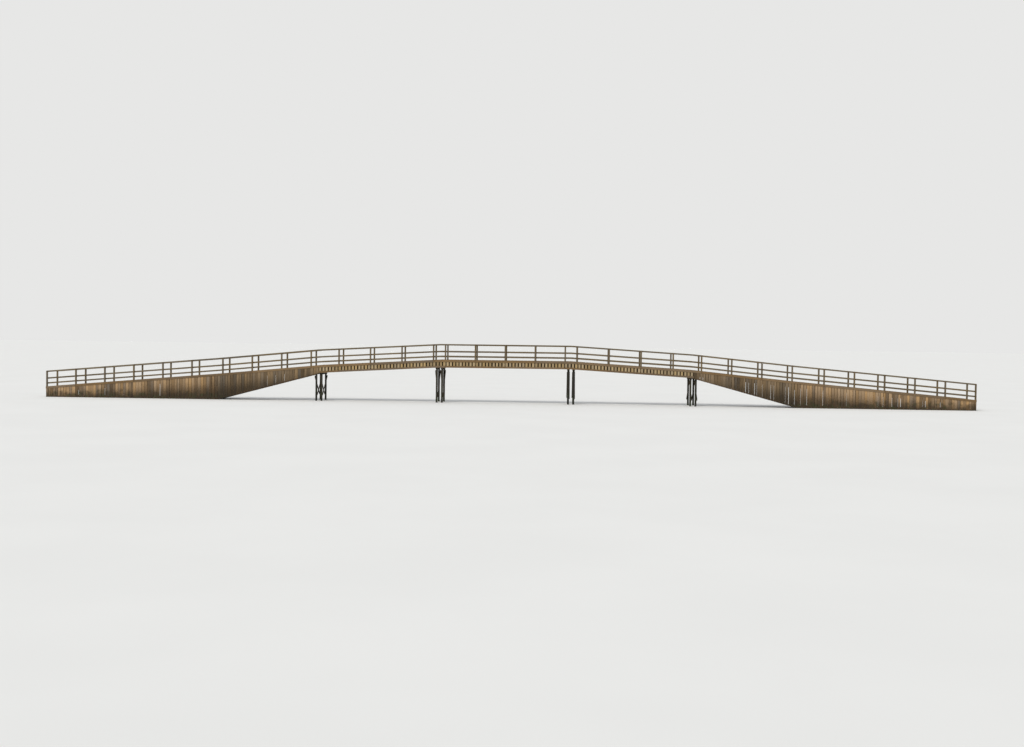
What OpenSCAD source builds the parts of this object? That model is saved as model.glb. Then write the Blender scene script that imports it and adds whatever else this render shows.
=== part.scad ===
// Timber footbridge on pile piers, as a model at half the real size.
// Millimetres. +X runs along the bridge, +Y across it and +Z up.
// The origin is the middle of the bridge at water level, where the piles and boarding stand.

/* [Spans] */
// Length from one inner pier to the other
centre_span = 4400; // [3400:10:5200]
// Length from an inner pier to the outer pier beside it
side_span = 4060; // [3200:10:5000]
// Length from an outer pier to the shore
shore_span = 3420; // [2600:10:4200]
// Length of the boarded ramp on each bank
ramp_length = 5860; // [4400:10:7600]

/* [Walking Line] */
// Height of the walking surface over the inner piers
crown_height = 1400; // [1300:5:1700]
// Height of the walking surface over the outer piers
outer_pier_height = 1165; // [1000:5:1290]
// Height of the walking surface at the shore
shore_height = 830; // [640:5:980]
// Height of the walking surface at the bank ends
bank_height = 320; // [290:5:480]

/* [Deck] */
// Width between the side boardings
deck_width = 924; // [820:2:1300]
// Thickness of the deck planks
deck_thickness = 22; // [16:1:36]
// Clearance round each post where the deck is notched
notch_clearance = 1; // [0.5:0.5:4]

/* [Girders] */
// Width of a girder
girder_width = 75; // [50:1:110]
// Depth of a girder
girder_depth = 148; // [120:1:200]
// Thickness of the blocking between the girders at each pair of posts
blocking_thickness = 22; // [16:1:36]
// Depth of the blocking
blocking_depth = 110; // [80:1:118]

/* [Side Boarding] */
// Thickness of the upright boards
board_thickness = 12; // [8:1:20]
// Depth of the boarding on the spans, below the walking surface
boarding_depth = 226; // [190:1:280]
// Depth of the skirts at an outer pier, below the walking surface
skirt_depth = 245; // [200:1:330]
// Thickness of the edge boards nailed over the boarding
edge_thickness = 12; // [8:1:20]
// Height that the upper edge board stands above the deck
kerb_height = 35; // [15:1:60]
// Depth of the upper edge board below the walking surface
upper_edge_depth = 38; // [24:1:70]
// Depth of the lower edge board
lower_edge_depth = 60; // [30:1:80]
// Width of the nailing batten behind the long boards
batten_width = 45; // [30:1:60]
// Thickness of the nailing batten
batten_thickness = 24; // [16:1:36]
// Distance of the batten above the boards' feet
batten_lift = 5; // [2:0.5:20]

/* [Railing] */
// Height of the railing above the walking surface
railing_height = 565; // [500:5:680]
// Height of the middle rail's centre above the walking surface
middle_rail_height = 310; // [280:5:370]
// Height of the lower rail's centre above the walking surface
lower_rail_height = 145; // [110:5:210]
// Depth of a rail
rail_depth = 50; // [36:1:70]
// Thickness of a rail
rail_thickness = 22; // [16:1:32]
// Depth that the rails are let into the posts
rail_housing = 4; // [2:0.5:8]
// Width of a square post
post_size = 50; // [36:1:70]
// Distance of the post tops below the head of the top rail
post_drop = 2; // [1:0.5:10]
// Greatest distance from one post to the next
post_pitch = 1100; // [700:10:1400]
// Distance of the paired posts from an inner pier
inner_pier_post = 200; // [120:5:320]
// Distance from an outer pier to the first post on the side span
side_span_post = 680; // [300:5:800]
// Distance from an outer pier to the last post on the shore span
shore_span_post = 260; // [200:5:700]
// Distance from the shore to the first post on the shore span
shore_post = 170; // [60:5:400]
// Distance from the shore to the first post on the ramp
ramp_post = 880; // [400:5:1000]
// Depth that a post laps down the side of a girder
post_lap = 130; // [80:5:140]

/* [Piers] */
// Diameter of a pile
pile_diameter = 66; // [50:1:90]
// Distance between the two rows of piles in a pier
pile_row_pitch = 176; // [150:1:260]
// Width of a cap beam
cap_width = 80; // [66:1:120]
// Depth of a cap beam
cap_depth = 70; // [50:1:100]
// Length that a cap beam runs past the piles' centres
cap_overhang = 70; // [50:1:84]
// Length of the splay cut from the foot of a cap beam's ends
cap_splay = 24; // [5:1:30]
// Length of a bolster under the girders
bolster_length = 300; // [260:5:400]
// Depth of a bolster at the middle of the pier
bolster_depth = 36; // [32:1:60]
// Length of the splay cut from the foot of a bolster's ends
bolster_splay = 20; // [10:1:40]
// Height of that splay
bolster_splay_rise = 8; // [3:1:10]
// Width of a brace
brace_width = 50; // [36:1:72]
// Thickness of a brace
brace_thickness = 20; // [14:1:30]
// Gap between a pile and the brace bolted to it
brace_gap = 0.3; // [0.2:0.1:0.8]
// Height of the braces' lower ends above the water
brace_foot = 170; // [100:5:300]
// Distance of the braces' upper ends below the cap beams
brace_drop = 20; // [5:5:120]

/* [Ramps] */
// Number of trestles that carry each ramp
trestle_count = 3; // [2:1:5]
// Width of a trestle post
trestle_post = 75; // [50:1:110]
// Depth of a trestle cap
trestle_cap_depth = 70; // [50:1:90]
// Width of the sill under the ramp's end
sill_width = 120; // [80:5:200]
// Thickness of the wall that closes the ramp's end
end_wall_thickness = 60; // [30:1:100]

/* [Hidden] */
$fn = 48;

TIMBER = [0.46, 0.41, 0.34];
DECK = [0.52, 0.48, 0.41];
BOARD = [0.42, 0.38, 0.31];
RAIL = [0.38, 0.34, 0.26];
PILE = [0.16, 0.17, 0.14];

// Stations along the right half: inner pier, outer pier, shore and bank end
inner_x = centre_span / 2;
outer_x = inner_x + side_span;
shore_x = outer_x + shore_span;
end_x = shore_x + ramp_length;
wall_x = end_x - end_wall_thickness;

// Offsets across the bridge, from the middle to the near face of each layer
board_y = deck_width / 2;
post_y = board_y - post_size;
rail_y = post_y + rail_housing - rail_thickness;
girder_y = post_y - girder_width / 2;
edge_y = board_y + board_thickness + edge_thickness;

// Heights below the walking surface
girder_foot = -deck_thickness - girder_depth;
post_foot = -deck_thickness - post_lap;
post_head = railing_height - post_drop;
EVERY_RAIL = [
    railing_height - rail_depth / 2,
    middle_rail_height,
    lower_rail_height
];

// Height of the walking surface at any place along the bridge
WALKING_LINE = [
    [0, crown_height],
    [inner_x, crown_height],
    [outer_x, outer_pier_height],
    [shore_x, shore_height],
    [end_x, bank_height]
];
function walk_z(x) = lookup(abs(x), WALKING_LINE);

// Points along the girders' underside over a support, with one at its middle where two spans may meet
function seat(x, half) = [
    for (dx = [half, 0, -half]) [x + dx, walk_z(x + dx) + girder_foot]
];

// Height of the long boards' feet, which stand on the bank and rise from the shore to the outer pier
skirt_rise = (outer_pier_height - skirt_depth) / shore_span;
function skirt_foot(x) = max(0, (shore_x - x) * skirt_rise);

// Places of the posts between two ends, spread evenly and no further apart than the pitch
function posts_between(first, last) =
    let (bays = ceil((last - first) / post_pitch))
    [for (i = [0 : bays]) first + (last - first) * i / bays];

CENTRE_POSTS = posts_between(-inner_x + inner_pier_post, inner_x - inner_pier_post);
SPAN_POSTS = posts_between(inner_x + inner_pier_post, outer_x - side_span_post);
SHORE_POSTS = posts_between(outer_x + shore_span_post, shore_x - shore_post);
RAMP_POSTS = posts_between(shore_x + ramp_post, end_x - post_size / 2);

// Upright plate across the bridge, from an outline of [x, z] points
module plate(outline, y_from, y_to) {
    translate([0, y_to, 0])
        rotate([90, 0, 0])
            linear_extrude(y_to - y_from)
                polygon(outline);
}

// Upright plate along the bridge, from an outline of [y, z] points
module cross_plate(outline, x_from, x_to) {
    translate([x_from, 0, 0])
        rotate([90, 0, 90])
            linear_extrude(x_to - x_from)
                polygon(outline);
}

// Straight timber that follows the walking line, between two heights measured from it
module timber(x_from, x_to, foot, head, y_from, y_to) {
    plate([
        [x_from, walk_z(x_from) + foot],
        [x_to, walk_z(x_to) + foot],
        [x_to, walk_z(x_to) + head],
        [x_from, walk_z(x_from) + head]
    ], y_from, y_to);
}

// The same piece on both sides of the bridge
module both_sides() {
    children();
    mirror([0, 1, 0]) children();
}

// The right half's piece, turned round for the left half
module left() {
    mirror([1, 0, 0]) children();
}

// Three girders, held upright by blocking at each pair of railing posts
module girders(x_from, x_to, posts) {
    half = blocking_thickness / 2;
    blocking_foot = girder_foot + (girder_depth - blocking_depth) / 2;
    color(TIMBER) {
        for (y = [-girder_y, 0, girder_y])
            timber(
                x_from, x_to,
                girder_foot, -deck_thickness,
                y - girder_width / 2, y + girder_width / 2
            );
        for (x = posts)
            if (x + half < x_to)
                timber(
                    x - half, x + half,
                    blocking_foot, blocking_foot + blocking_depth,
                    -girder_y, girder_y
                );
    }
}

// One post, with its top and foot cut along the walking line
module post(x) {
    half = post_size / 2;
    timber(x - half, x + half, post_foot, post_head, post_y, board_y);
}

// Room that a post needs at the edge of the deck
module notch(x) {
    half = post_size / 2 + notch_clearance;
    timber(x - half, x + half, post_foot, post_head, post_y - notch_clearance, board_y + 1);
}

// Deck notched round the posts at both edges
module deck(x_from, x_to, posts) {
    color(DECK)
        difference() {
            timber(x_from, x_to, -deck_thickness, 0, -board_y, board_y);
            both_sides()
                for (x = posts)
                    notch(x);
        }
}

module railings(x_from, x_to, posts) {
    color(RAIL)
        both_sides() {
            for (x = posts)
                post(x);
            for (z = EVERY_RAIL)
                timber(
                    x_from, x_to,
                    z - rail_depth / 2, z + rail_depth / 2,
                    rail_y, rail_y + rail_thickness
                );
        }
}

// Ramp railings, whose end posts stand on the bank
module ramp_railings() {
    last = len(RAMP_POSTS) - 1;
    railings(shore_x, end_x, [for (i = [0 : last - 1]) RAMP_POSTS[i]]);
    color(RAIL)
        both_sides()
            plate([
                [end_x - post_size, 0],
                [end_x, 0],
                [end_x, walk_z(end_x) + post_head],
                [end_x - post_size, walk_z(end_x - post_size) + post_head]
            ], post_y, board_y);
}

// Edge board along the head of the boarding, made with the boards behind it
module upper_edge(x_from, x_to) {
    timber(x_from, x_to, -upper_edge_depth, kerb_height, board_y, edge_y);
}

// Shallow boarding of a span, between an upper and a lower edge board
module boarding(x_from, x_to) {
    color(BOARD)
        both_sides() {
            timber(x_from, x_to, -boarding_depth, kerb_height, board_y, board_y + board_thickness);
            upper_edge(x_from, x_to);
            timber(x_from, x_to, -boarding_depth, lower_edge_depth - boarding_depth, board_y, edge_y);
        }
}

// Long boarding down to the bank or the skirt line, with a nailing batten behind it near the foot
module skirts(x_from, x_to, batten_from, batten_to) {
    foot_from = skirt_foot(batten_from) + batten_lift;
    foot_to = skirt_foot(batten_to) + batten_lift;
    color(BOARD)
        both_sides() {
            plate([
                [x_from, skirt_foot(x_from)],
                [x_to, skirt_foot(x_to)],
                [x_to, walk_z(x_to) + kerb_height],
                [x_from, walk_z(x_from) + kerb_height]
            ], board_y, board_y + board_thickness);
            upper_edge(x_from, x_to);
            plate([
                [batten_from, foot_from],
                [batten_to, foot_to],
                [batten_to, foot_to + batten_width],
                [batten_from, foot_from + batten_width]
            ], board_y - batten_thickness, board_y + board_thickness);
        }
}

// Level of the underside of the bolsters, and so the head of the cap beams
function cap_head(x) = walk_z(x) + girder_foot - bolster_depth;
function pile_head(x) = cap_head(x) - cap_depth;
function pile_rows(x) = [x - pile_row_pitch / 2, x + pile_row_pitch / 2];

module piles(x) {
    color(PILE)
        for (row_x = pile_rows(x))
            for (y = [-girder_y, girder_y])
                translate([row_x, y, 0])
                    cylinder(h = pile_head(x), d = pile_diameter);
}

// Cap beam on each row of piles, with a bolster under each girder shaped to the walking line
module caps(x) {
    half = bolster_length / 2;
    reach = girder_y + cap_overhang;
    foot = pile_head(x);
    color(PILE) {
        for (row_x = pile_rows(x))
            cross_plate([
                [-reach, foot + cap_splay],
                [-reach + cap_splay, foot],
                [reach - cap_splay, foot],
                [reach, foot + cap_splay],
                [reach, cap_head(x)],
                [-reach, cap_head(x)]
            ], row_x - cap_width / 2, row_x + cap_width / 2);
        for (y = [-girder_y, 0, girder_y])
            plate(concat([
                [x - half, cap_head(x) + bolster_splay_rise],
                [x - half + bolster_splay, cap_head(x)],
                [x + half - bolster_splay, cap_head(x)],
                [x + half, cap_head(x) + bolster_splay_rise]
            ], seat(x, half)), y - girder_width / 2, y + girder_width / 2);
    }
}

// Brace from the foot of one pile to the head of the other, cut upright at both ends
module brace(x, head) {
    reach = girder_y + pile_diameter / 2;
    low = brace_foot + brace_width;
    high = head - brace_drop - brace_width;
    angle = atan((high - low) / (2 * reach));
    half_cut = brace_width / 2 / cos(angle);
    cross_plate([
        [-reach, low - half_cut],
        [reach, high - half_cut],
        [reach, high + half_cut],
        [-reach, low + half_cut]
    ], x, x + brace_thickness);
}

// Two braces cross on each row of piles, one on each face of the row
module braces(x) {
    color(PILE)
        for (row_x = pile_rows(x))
            translate([row_x, 0, 0])
                for (turn = [0, 180])
                    rotate([0, 0, turn])
                        brace(pile_diameter / 2 + brace_gap, pile_head(x));
}

// Trestle inside a ramp, with its cap cut to the slope of the girders
module trestle(x) {
    half = trestle_post / 2;
    reach = girder_y + girder_width / 2;
    cap_foot = walk_z(x + half) + girder_foot - trestle_cap_depth;
    plate(concat([[x - half, cap_foot], [x + half, cap_foot]], seat(x, half)), -reach, reach);
    for (y = [-girder_y, girder_y])
        plate(concat([[x - half, 0], [x + half, 0]], seat(x, half)), y - half, y + half);
}

// Trestles spread along the ramp from the shore, and the sill under its end
module trestles() {
    sill_x = wall_x - sill_width;
    reach = girder_y + girder_width / 2;
    color(PILE) {
        for (i = [0 : trestle_count - 1])
            trestle(shore_x + (sill_x - shore_x) * i / trestle_count);
        plate([
            [sill_x, 0],
            [wall_x, 0],
            [wall_x, walk_z(wall_x) + girder_foot],
            [sill_x, walk_z(sill_x) + girder_foot]
        ], -reach, reach);
    }
}

// Wall that closes the end of a ramp between its end posts, under the deck
module end_wall() {
    color(BOARD)
        plate([
            [wall_x, 0],
            [end_x, 0],
            [end_x, walk_z(end_x) - deck_thickness],
            [wall_x, walk_z(wall_x) - deck_thickness]
        ], -post_y, post_y);
}

// Skirts of a ramp, whose battens stop at the end posts
module ramp_skirts() {
    skirts(shore_x, end_x, shore_x, end_x - post_size);
}

// Skirts of a shore span, whose battens stop clear of the pier's cap beams
module shore_skirts() {
    skirts(outer_x, shore_x, outer_x + bolster_length / 2, shore_x);
}

// Left ramp
left() end_wall();  // left_end_wall
left() trestles();  // left_ramp_trestles
left() girders(shore_x, wall_x, RAMP_POSTS);  // left_ramp_girders
left() deck(shore_x, end_x, RAMP_POSTS);  // left_ramp_deck
left() ramp_skirts();  // left_ramp_skirts
left() ramp_railings();  // left_ramp_railings
// Left shore span
left() girders(outer_x, shore_x, SHORE_POSTS);  // left_shore_girders
left() deck(outer_x, shore_x, SHORE_POSTS);  // left_shore_deck
left() shore_skirts();  // left_shore_skirts
left() railings(outer_x, shore_x, SHORE_POSTS);  // left_shore_railings
// Left span
left() girders(inner_x, outer_x, SPAN_POSTS);  // left_span_girders
left() deck(inner_x, outer_x, SPAN_POSTS);  // left_span_deck
left() boarding(inner_x, outer_x);  // left_span_boarding
left() railings(inner_x, outer_x, SPAN_POSTS);  // left_span_railings
// Pier 1
piles(-outer_x);  // pier_1_piles
caps(-outer_x);  // pier_1_caps
braces(-outer_x);  // pier_1_braces
// Pier 2
piles(-inner_x);  // pier_2_piles
caps(-inner_x);  // pier_2_caps
braces(-inner_x);  // pier_2_braces
// Centre span
girders(-inner_x, inner_x, CENTRE_POSTS);  // centre_span_girders
deck(-inner_x, inner_x, CENTRE_POSTS);  // centre_span_deck
boarding(-inner_x, inner_x);  // centre_span_boarding
railings(-inner_x, inner_x, CENTRE_POSTS);  // centre_span_railings
// Pier 3
piles(inner_x);  // pier_3_piles
caps(inner_x);  // pier_3_caps
braces(inner_x);  // pier_3_braces
// Pier 4
piles(outer_x);  // pier_4_piles
caps(outer_x);  // pier_4_caps
braces(outer_x);  // pier_4_braces
// Right ramp
end_wall();  // right_end_wall
trestles();  // right_ramp_trestles
girders(shore_x, wall_x, RAMP_POSTS);  // right_ramp_girders
deck(shore_x, end_x, RAMP_POSTS);  // right_ramp_deck
ramp_skirts();  // right_ramp_skirts
ramp_railings();  // right_ramp_railings
// Right shore span
girders(outer_x, shore_x, SHORE_POSTS);  // right_shore_girders
deck(outer_x, shore_x, SHORE_POSTS);  // right_shore_deck
shore_skirts();  // right_shore_skirts
railings(outer_x, shore_x, SHORE_POSTS);  // right_shore_railings
// Right span
girders(inner_x, outer_x, SPAN_POSTS);  // right_span_girders
deck(inner_x, outer_x, SPAN_POSTS);  // right_span_deck
boarding(inner_x, outer_x);  // right_span_boarding
railings(inner_x, outer_x, SPAN_POSTS);  // right_span_railings
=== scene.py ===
"""Planks, boards, rails, piles and fastenings of a long timber footbridge, set round its solid model."""

import math
import random

import bpy
import numpy as np
from mathutils import Matrix, Vector


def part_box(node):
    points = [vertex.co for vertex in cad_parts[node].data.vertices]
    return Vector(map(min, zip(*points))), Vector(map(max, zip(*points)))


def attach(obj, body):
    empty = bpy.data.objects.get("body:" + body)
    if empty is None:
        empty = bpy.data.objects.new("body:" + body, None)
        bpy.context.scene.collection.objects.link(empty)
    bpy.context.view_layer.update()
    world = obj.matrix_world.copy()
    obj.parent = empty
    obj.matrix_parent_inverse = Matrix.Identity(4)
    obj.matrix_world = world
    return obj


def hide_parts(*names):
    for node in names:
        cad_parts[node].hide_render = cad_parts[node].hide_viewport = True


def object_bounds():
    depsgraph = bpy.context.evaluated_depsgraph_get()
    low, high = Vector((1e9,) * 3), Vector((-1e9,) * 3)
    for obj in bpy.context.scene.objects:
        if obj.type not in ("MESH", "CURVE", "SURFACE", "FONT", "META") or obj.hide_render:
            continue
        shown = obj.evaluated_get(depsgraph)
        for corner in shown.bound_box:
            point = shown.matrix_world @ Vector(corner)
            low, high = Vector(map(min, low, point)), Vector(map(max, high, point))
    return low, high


bl_info = {
    "name": "Timber Footbridge",
    "version": (1, 0, 0),
    "blender": (4, 5, 0),
    "location": "View3D > Sidebar > Footbridge",
    "description": "Dresses a timber footbridge with its planks, boards, rails, piles and fastenings",
    "category": "Object",
}

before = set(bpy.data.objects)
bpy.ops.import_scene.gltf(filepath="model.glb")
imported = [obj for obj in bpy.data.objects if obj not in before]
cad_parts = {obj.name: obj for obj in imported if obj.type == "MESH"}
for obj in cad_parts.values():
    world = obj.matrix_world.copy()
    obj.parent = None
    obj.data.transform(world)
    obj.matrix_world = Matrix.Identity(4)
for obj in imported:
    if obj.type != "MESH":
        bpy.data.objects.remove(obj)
CAD_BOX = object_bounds()


def far(node):
    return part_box(node)[1]


def near(node):
    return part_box(node)[0]


# Stations along the right half, and the walking surface's height over each
INNER_X, OUTER_X = far("centre_span_deck").x, far("right_span_deck").x
SHORE_X, END_X = far("right_shore_deck").x, far("right_ramp_deck").x
WALL_X = near("right_end_wall").x
CROWN = far("centre_span_deck").z
DECK = CROWN - near("centre_span_deck").z
OUTER_Z, SHORE_Z, BANK_Z = (near(f"right_{part}_deck").z + DECK for part in ("span", "shore", "ramp"))
HALF_LINE = ((0, INNER_X, OUTER_X, SHORE_X, END_X), (CROWN, CROWN, OUTER_Z, SHORE_Z, BANK_Z))

# Offsets across the bridge. The edge boards' face leaves room for their nail heads.
BOARD_Y = far("centre_span_deck").y
EDGE_Y = far("centre_span_boarding").y
EDGE_FACE = EDGE_Y - 0.0008
POST_Y = far("centre_span_girders").y

# Heights measured from the walking surface
GIRDER_FOOT = near("centre_span_girders").z - CROWN
RAIL_TOP = far("centre_span_railings").z - CROWN
POST_FOOT = near("centre_span_railings").z - CROWN
BOARDING_FOOT = near("centre_span_boarding").z - CROWN
KERB = far("centre_span_boarding").z - CROWN

# Small distances
SEAT = 0.0002  # under what rests on a timber
INSET = 0.0003  # from a board's faces to those of its solid
SUNK = 0.0004  # of fastenings into a face, and of trestles, sills and studs above the ground
RISE = 0.0005  # of the end posts above the ground, and the least rise of a board's foot
CLEAR = 0.001  # between timbers that butt
APART = 0.01  # two points of a beam that are further apart than this are on different sides of it

# How unevenly planks and boards are laid
PLANK_WEAR = 0.0012  # the most that a plank's head is worn down
PLANK_CUT = 0.004  # the most that its ends are cut short
BOARD_STRAY = 0.004  # short boards, along the bridge
BOARD_WIDTHS = (-0.006, 0.005)  # added to a short board's width
BOARD_RISE = 0.004  # the greatest rise of its foot
SKIRT_STRAY = 0.001  # long boards, along the bridge
SKIRT_WIDTHS = (0.76, 1.24)  # long boards' widths, as shares of the mean
SKIRT_GAPS = (0.3, 1.5)  # their gaps, as shares of the mean
SKIRT_RISE = 0.003  # the greatest rise of a long board's foot
BATTEN_START = 0.15  # from an outer pier to the batten behind a shore span's long boards

# Places of nails, bolts and nuts
NAIL_SHARE = 0.57  # of the way from a board's middle to its arris
NAIL_X = 0.018  # from a short board's middle
NAIL_STRAY = 0.003  # from the nails' line
ROW_STRAY = 0.005  # from their row, on a short board
BATTEN_ROW = (0.45, 0.6)  # up a batten, as shares of its width
BOLT_X, BOLT_Z = 0.012, 0.01  # of a rail's two bolts from its middle at a post, along the bridge and up
NUT_Z = 0.03  # of the blocking's two nuts from its middle, up and down
FAR_OFF = 9.0  # a row of nails that is on no timber

PIERS = range(1, 5)
SIDES = (-1, 1)
HANDS = (("left", -1), ("right", 1))

# Timbers and fastenings that repeat, each modelled once, and the materials made so far
PATTERNS, FINISHES = {}, {}


def walk_z(x):
    """Height of the walking surface at places along the bridge."""
    return np.interp(np.abs(x), *HALF_LINE)


def paint(*rgb):
    """A colour written as it looks on a screen, turned into the light values that shaders take."""
    return tuple(((c / 255 + 0.055) / 1.055) ** 2.4 if c > 10 else c / 255 / 12.92 for c in rgb)


def length(name, description, default, low=0.0005, high=4.0):
    return bpy.props.FloatProperty(
        name=name, description=description, default=default, min=low, max=high, unit="LENGTH", precision=4
    )


def colour(name, description, *rgb):
    return bpy.props.FloatVectorProperty(
        name=name, description=description, default=paint(*rgb), size=3, min=0, max=1, subtype="COLOR"
    )


class FootbridgeSizes(bpy.types.PropertyGroup):
    """Sizes of the timbers and fastenings."""

    plank: length("Plank width", "Width of a deck plank", 0.068)
    plank_gap: length("Plank gap", "Gap between deck planks", 0.004)
    board: length("Board width", "Width of an upright board on the spans", 0.068)
    board_gap: length("Board gap", "Gap between upright boards on the spans", 0.042)
    skirt_board: length("Skirt board width", "Mean width of a long upright board", 0.083)
    skirt_gap: length("Skirt gap", "Mean gap between long upright boards", 0.012)
    skirt_depth: length("Skirt depth", "Skirts' depth below the walking surface, at an outer pier", 0.245)
    board_thickness: length("Board thickness", "Thickness of the upright boards", 0.012)
    upper_edge: length("Upper edge depth", "Depth of the upper edge board below the walking surface", 0.038)
    lower_edge: length("Lower edge depth", "Depth of the lower edge board", 0.06)
    batten_width: length("Batten width", "Width of the batten behind the skirts' feet", 0.045)
    batten_thickness: length("Batten thickness", "Thickness of that batten", 0.024)
    batten_lift: length("Batten lift", "Distance of that batten above the skirts' feet", 0.005)
    girder: length("Girder width", "Width of a girder", 0.075)
    blocking_thickness: length("Blocking thickness", "Thickness of the blocking between girders", 0.022)
    blocking_depth: length("Blocking depth", "Depth of the blocking", 0.11)
    rail: length("Rail depth", "Depth of a rail", 0.05)
    rail_thickness: length("Rail thickness", "Thickness of a rail", 0.022)
    housing: length("Rail housing", "Depth that a rail is let into the posts", 0.004)
    middle_rail: length("Middle rail", "Height of the middle rail's centre", 0.31)
    lower_rail: length("Lower rail", "Height of the lower rail's centre", 0.145)
    post: length("Post width", "Width of a square post", 0.05)
    post_drop: length("Post drop", "Distance of the post tops below the top rail's head", 0.002)
    post_pitch: length("Post pitch", "Greatest distance from one post to the next", 1.1)
    inner_pier_post: length("Post by an inner pier", "From an inner pier to the next post", 0.2)
    side_span_post: length("Post on a side span", "From an outer pier to the side span's last post", 0.68)
    shore_span_post: length("Post on a shore span", "From an outer pier to the shore span's first post", 0.26)
    shore_post: length("Post at a shore", "From the shore to the shore span's last post", 0.17)
    ramp_post: length("Post on a ramp", "From the shore to the ramp's first post", 0.88)
    pile: length("Pile diameter", "Diameter of a pile", 0.066)
    cap_width: length("Cap width", "Width of a cap beam", 0.08)
    cap_splay: length("Cap splay", "Splay cut from the foot of a cap beam's ends", 0.024)
    bolster_depth: length("Bolster depth", "Depth of a bolster at the middle of a pier", 0.036)
    bolster_splay: length("Bolster splay", "Length of the splay cut from the foot of a bolster's ends", 0.02)
    bolster_rise: length("Bolster splay height", "Height of that splay", 0.008)
    brace_width: length("Brace width", "Width of a brace", 0.05)
    brace_thickness: length("Brace thickness", "Thickness of a brace", 0.02)
    brace_foot: length("Brace foot", "Height of the braces' lower ends above the ground", 0.17)
    brace_drop: length("Brace drop", "Distance of the braces' upper ends below the cap beams", 0.02)
    trestle_post: length("Trestle post", "Width of a trestle post", 0.075)
    trestle_cap: length("Trestle cap", "Depth of a trestle cap", 0.07)
    sill: length("Sill width", "Width of the sill under a ramp's end", 0.12)
    wall_plank: length("Wall plank", "Thickness of the end wall's planks", 0.024)
    trestles: bpy.props.IntProperty(
        name="Trestles", description="Number of trestles in each ramp", default=3, min=1, max=8
    )
    arris: length("Arris", "Width of the worn arris of a thin board", 0.0015)
    post_arris: length("Post arris", "Width of the worn arris of a post or beam", 0.003)
    slack: length("Slack", "How far a timber's corners stray from true", 0.0009, 0.0)


class FootbridgeColours(bpy.types.PropertyGroup):
    """Colours of the timbers and fastenings."""

    plank: colour("Planks", "Walked planks of the deck", 142, 130, 108)
    plank_dark: colour("Dark planks", "Darkest planks of the deck", 98, 86, 68)
    board: colour("Boards", "Short upright boards of the spans", 190, 163, 115)
    board_dark: colour("Dark boards", "Darkest of those boards", 126, 105, 70)
    # Painted shade: the skirts' colours are darker than those of the ramps' boards, which are the same wood
    skirt: colour("Skirts", "Long upright boards of the shore spans", 142, 118, 86)
    skirt_dark: colour("Dark skirts", "Darkest of those boards", 52, 44, 33)
    # Painted sunlight: the ramps' colours are lighter and warmer than those of the skirts' boards, which are
    # the same wood
    ramp: colour("Ramp boards", "Long upright boards of the ramps", 182, 147, 103)
    ramp_dark: colour("Dark ramp boards", "Darkest of those boards", 58, 47, 34)
    edge: colour("Edge boards", "Edge boards over the upright boards", 140, 113, 78)
    edge_dark: colour("Dark edge boards", "Darkest edge boards", 90, 72, 49)
    rail: colour("Railings", "Posts and rails", 124, 108, 80)
    rail_dark: colour("Dark railings", "Darkest posts and rails", 80, 68, 49)
    girder: colour("Girders", "Girders and blocking", 88, 72, 52)
    girder_dark: colour("Dark girders", "Darkest girders", 52, 42, 31)
    pier: colour("Pier timbers", "Cap beams, braces, bolsters and trestles", 74, 64, 49)
    pier_dark: colour("Dark pier timbers", "Darkest pier timbers", 42, 37, 29)
    pile: colour("Piles", "Round piles above the damp", 66, 61, 48)
    pile_dark: colour("Wet piles", "Round piles near the ground", 32, 32, 27)
    growth: colour("Growth", "Green growth on damp timber", 62, 70, 42)
    iron: colour("Iron", "Bolts, nuts and nails", 58, 50, 43)
    rust: colour("Rust", "Rust on the iron and round the nails", 92, 56, 34)
    floor: colour("Floor", "Plain pale floor", 238, 238, 236)
    backdrop: colour("Backdrop", "Plain pale background", 231, 231, 230)


def deselect():
    for obj in bpy.context.selected_objects:
        obj.select_set(False)
    bpy.context.view_layer.objects.active = None


def coordinates(mesh):
    values = np.empty(len(mesh.vertices) * 3, np.float32)
    mesh.vertices.foreach_get("co", values)
    return values.reshape(-1, 3).astype(float)


def set_coordinates(mesh, values):
    mesh.vertices.foreach_set("co", np.ascontiguousarray(values, np.float32).ravel())
    mesh.update()


def primitive(add, **settings):
    """A new primitive, alone selected, with its place and size in its mesh."""
    deselect()
    add(**settings)
    bpy.ops.object.transform_apply(location=True, rotation=True, scale=True)
    return bpy.context.object


def cylinder(sides, radius, low, high):
    """An upright bar between two heights."""
    middle = (0, 0, (low + high) / 2)
    add = bpy.ops.mesh.primitive_cylinder_add
    return primitive(add, vertices=sides, radius=radius, depth=high - low, location=middle)


def join(parts):
    """Joins objects into the first of them."""
    deselect()
    for obj in parts:
        obj.select_set(True)
    bpy.context.view_layer.objects.active = parts[0]
    bpy.ops.object.join()
    return parts[0]


def edit(kind):
    bpy.ops.object.mode_set(mode="EDIT")
    bpy.ops.mesh.select_mode(type=kind)


def done():
    bpy.ops.object.mode_set(mode="OBJECT")


def choose(kind, test):
    """Goes to edit mode with those edges or faces of the active object chosen that pass a test.

    The test is given an edge's two ends, or a face's centre and normal.
    """
    edit(kind)
    bpy.ops.mesh.select_all(action="DESELECT")
    done()
    mesh = bpy.context.object.data
    if kind == "FACE":
        for face in mesh.polygons:
            face.select = bool(test(face.center, face.normal))
    else:
        for edge in mesh.edges:
            edge.select = bool(test(*(mesh.vertices[i].co for i in edge.vertices)))
    edit(kind)


def bevel(width, test=lambda a, b: True):
    """Takes off the active object's arrises whose ends pass a test."""
    choose("EDGE", test)
    bpy.ops.mesh.bevel(offset=width, segments=1, affect="EDGES")
    done()


def faces_up(centre, normal):
    return normal.z > 0.8


def dome(width, lift):
    """Lifts the active object's head inside a rim of a given width."""
    choose("FACE", faces_up)
    bpy.ops.mesh.inset(thickness=width)
    bpy.ops.transform.translate(value=(0, 0, lift))
    done()


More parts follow.
